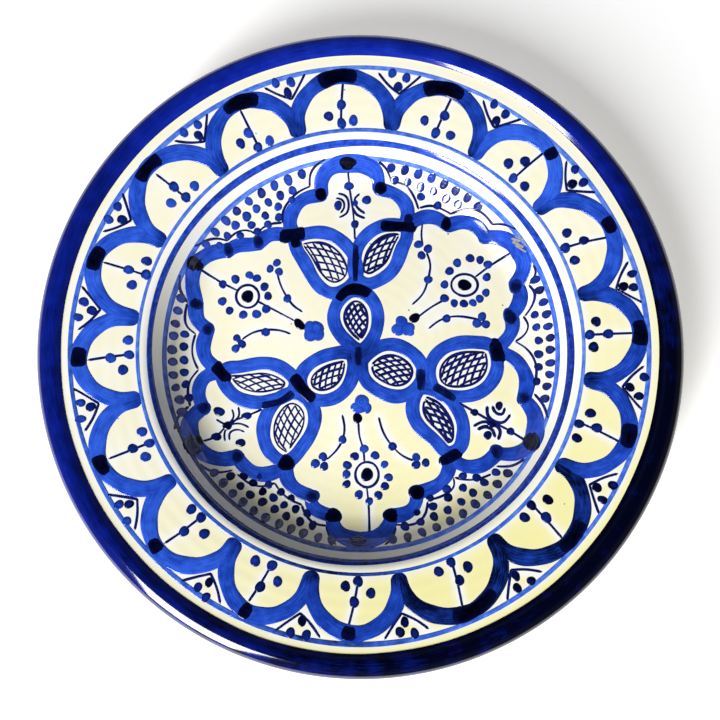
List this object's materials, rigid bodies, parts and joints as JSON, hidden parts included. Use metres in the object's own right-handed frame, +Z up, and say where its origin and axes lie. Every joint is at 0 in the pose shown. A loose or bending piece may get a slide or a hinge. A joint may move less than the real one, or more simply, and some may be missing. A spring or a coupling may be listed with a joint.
{
  "type": "hand painted ceramic plate",
  "caption": "Deep round earthenware plate on a foot ring, glazed cream white and hand painted in cobalt with an arched border and a flowered medallion.",
  "frame": {"origin": "centre of the foot's standing face, on the plate's axis, at the middle of the bounding box's bottom", "axes": "+Z up along the plate's axis, out of the well; -Y towards the edge below the single tip of the lowest petal; +Y towards the hanging holes"},
  "size_m": [0.3, 0.3, 0.0441],
  "materials": {
    "red_clay": "bare fired earthenware, matt",
    "white_glaze": "glossy cream white tin glaze",
    "lip_cobalt": "deep cobalt brushed band, glossy",
    "pale_blue": "thin cobalt wash, glossy",
    "brush_blue": "cobalt brush strokes, glossy",
    "dot_blue": "cobalt dots, glossy",
    "line_navy": "fine dark lines, glossy",
    "black_blue": "near black dabs of thick cobalt, glossy"
  },
  "bodies": {
    "root": {"clay_body": "red_clay", "foot_ring": "red_clay", "face_glaze": "white_glaze", "back_glaze": "white_glaze", "base_glaze": "white_glaze", "lip_band": "lip_cobalt", "border_lines": "pale_blue", "floor_line": "pale_blue", "well_line": "brush_blue", "border_arches": "brush_blue", "medallion_outline": "brush_blue", "pod_rings": "brush_blue", "flower_dots": "brush_blue", "tulip_buds": "brush_blue", "spandrel_dots": "dot_blue", "arch_dots": "dot_blue", "sprig_dots": "dot_blue", "ground_dots": "dot_blue", "crown_dabs": "black_blue", "junction_dabs": "black_blue", "pupils_and_calyxes": "black_blue", "insect_spots": "black_blue", "insect_curls": "line_navy", "arch_stems": "line_navy", "spandrel_ticks": "line_navy", "medallion_echo": "line_navy", "petal_stems": "line_navy", "flower_eyes": "line_navy", "pod_lattices": "line_navy"}
  },
  "joints": []
}
